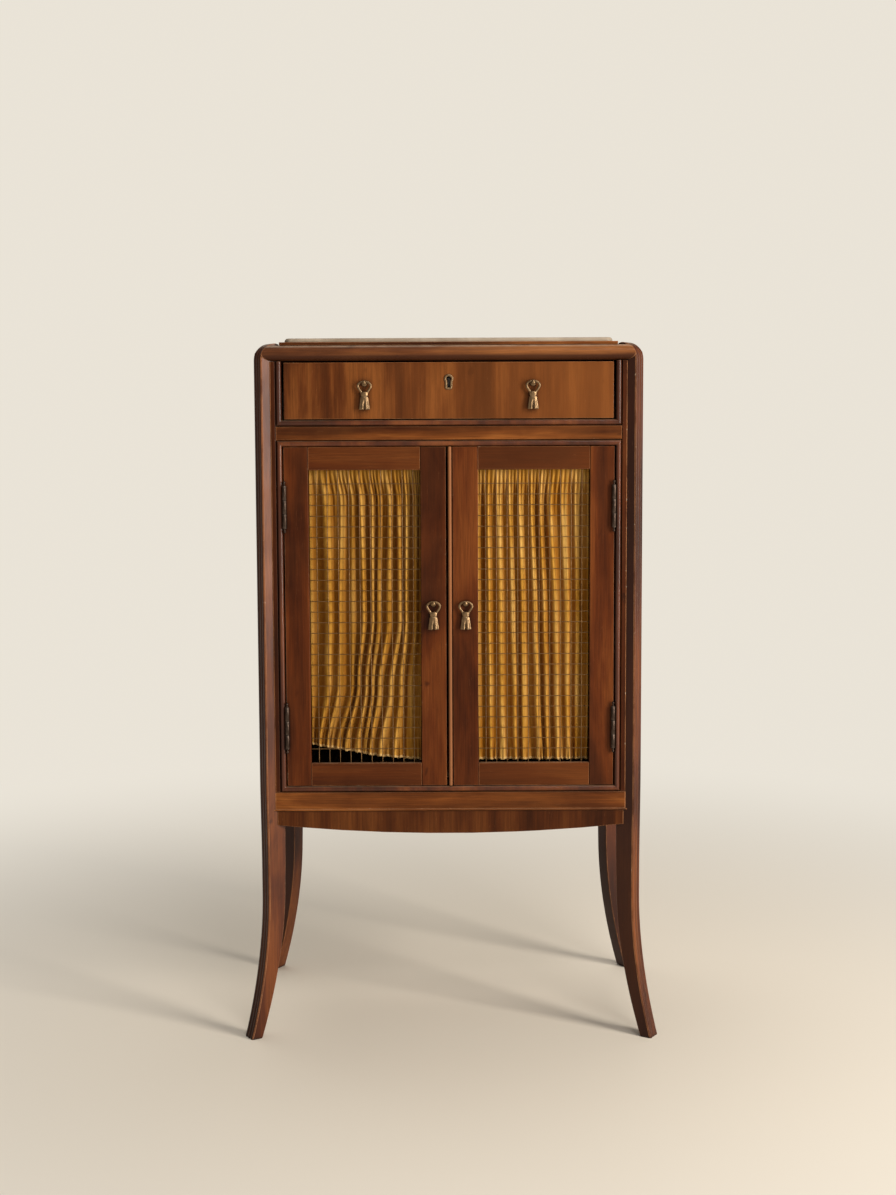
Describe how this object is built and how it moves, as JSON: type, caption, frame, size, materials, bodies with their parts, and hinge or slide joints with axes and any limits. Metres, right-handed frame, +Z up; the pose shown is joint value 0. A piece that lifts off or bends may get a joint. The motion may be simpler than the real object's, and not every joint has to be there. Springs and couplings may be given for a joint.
{
  "type": "gramophone cabinet",
  "caption": "Narrow mahogany cabinet on sabre legs with a drawer, curtained wire-net doors and a marble top, to carry a table gramophone and store its records.",
  "frame": {"origin": "on the floor, below the middle of the cabinet's outer box", "axes": "+Z up, +X to the right seen from the front, the front faces -Y"},
  "size_m": [0.6672, 0.3922, 1.12],
  "materials": {
    "mahogany": "red-brown mahogany under old rubbed polish",
    "pale_mahogany": "lighter mahogany rails, polish worn thin",
    "veneer": "mahogany veneer with upright grain, polished",
    "lining_wood": "plain unpolished secondary wood",
    "marble": "honed grey-cream marble",
    "brass": "dull aged brass",
    "bronze": "dark patinated metal",
    "lock_iron": "dull iron",
    "net_wire": "dull brass wire",
    "curtain_cloth": "matt ochre-gold cotton"
  },
  "bodies": {
    "carcase": {"front_right_post": "mahogany", "front_left_post": "mahogany", "rear_left_post": "mahogany", "rear_right_post": "mahogany", "left_frame_stile": "mahogany", "right_frame_stile": "mahogany", "apron": "mahogany", "door_bead": "mahogany", "drawer_bead": "mahogany", "left_rolled_rail": "mahogany", "right_rolled_rail": "mahogany", "top_board": "mahogany", "left_side_panel": "mahogany", "right_side_panel": "mahogany", "middle_rail": "pale_mahogany", "bottom_rail": "pale_mahogany", "front_top_rail": "pale_mahogany", "bottom_board": "lining_wood", "dust_board": "lining_wood", "shelf": "lining_wood", "back_panel": "lining_wood", "marble_slab": "marble", "left_upper_jamb_leaf": "bronze", "left_lower_jamb_leaf": "bronze", "right_upper_jamb_leaf": "bronze", "right_lower_jamb_leaf": "bronze"},
    "drawer": {"drawer_front": "veneer", "drawer_left_side": "lining_wood", "drawer_right_side": "lining_wood", "drawer_back": "lining_wood", "drawer_bottom": "lining_wood", "escutcheon": "brass", "drawer_lock_case": "lock_iron", "drawer_left_stud": "brass", "drawer_right_stud": "brass"},
    "lock_bolt": {"drawer_lock_bolt": "lock_iron"},
    "left_door": {"left_hinge_stile": "mahogany", "left_lock_stile": "mahogany", "left_door_top_rail": "mahogany", "left_door_bottom_rail": "mahogany", "left_wire_net": "net_wire", "left_curtain": "curtain_cloth", "left_curtain_rod": "brass", "left_upper_door_leaf": "bronze", "left_lower_door_leaf": "bronze", "left_door_stud": "brass"},
    "right_door": {"right_hinge_stile": "mahogany", "right_lock_stile": "mahogany", "right_door_top_rail": "mahogany", "right_door_bottom_rail": "mahogany", "right_wire_net": "net_wire", "right_curtain": "curtain_cloth", "right_curtain_rod": "brass", "right_upper_door_leaf": "bronze", "right_lower_door_leaf": "bronze", "right_door_stud": "brass"},
    "drawer_left_pull": {"drawer_left_drop": "brass"},
    "drawer_right_pull": {"drawer_right_drop": "brass"},
    "left_door_pull": {"left_door_drop": "brass"},
    "right_door_pull": {"right_door_drop": "brass"}
  },
  "joints": [
    {"name": "drawer_slide", "type": "slide", "parent": "carcase", "child": "drawer", "axis": [0, -1, 0], "range_m": [0, 0.22]},
    {"name": "left_door_hinge", "type": "hinge", "parent": "carcase", "child": "left_door", "pos_m": [-0.2595, -0.175, 0.68], "axis": [0, 0, -1], "range_deg": [0, 110]},
    {"name": "right_door_hinge", "type": "hinge", "parent": "carcase", "child": "right_door", "pos_m": [0.2595, -0.175, 0.68], "axis": [0, 0, 1], "range_deg": [0, 110]},
    {"name": "lock_bolt_throw", "type": "slide", "parent": "drawer", "child": "lock_bolt", "axis": [0, 0, 1], "range_m": [0, 0.0065]},
    {"name": "drawer_left_pull_swing", "type": "hinge", "parent": "drawer", "child": "drawer_left_pull", "pos_m": [-0.132, -0.1765, 1.0525], "axis": [-1, 0, 0], "range_deg": [0, 80]},
    {"name": "drawer_right_pull_swing", "type": "hinge", "parent": "drawer", "child": "drawer_right_pull", "pos_m": [0.132, -0.1765, 1.0525], "axis": [-1, 0, 0], "range_deg": [0, 80]},
    {"name": "left_door_pull_swing", "type": "hinge", "parent": "left_door", "child": "left_door_pull", "pos_m": [-0.0255, -0.1765, 0.7059], "axis": [-1, 0, 0], "range_deg": [0, 80]},
    {"name": "right_door_pull_swing", "type": "hinge", "parent": "right_door", "child": "right_door_pull", "pos_m": [0.0255, -0.1765, 0.7059], "axis": [-1, 0, 0], "range_deg": [0, 80]}
  ]
}
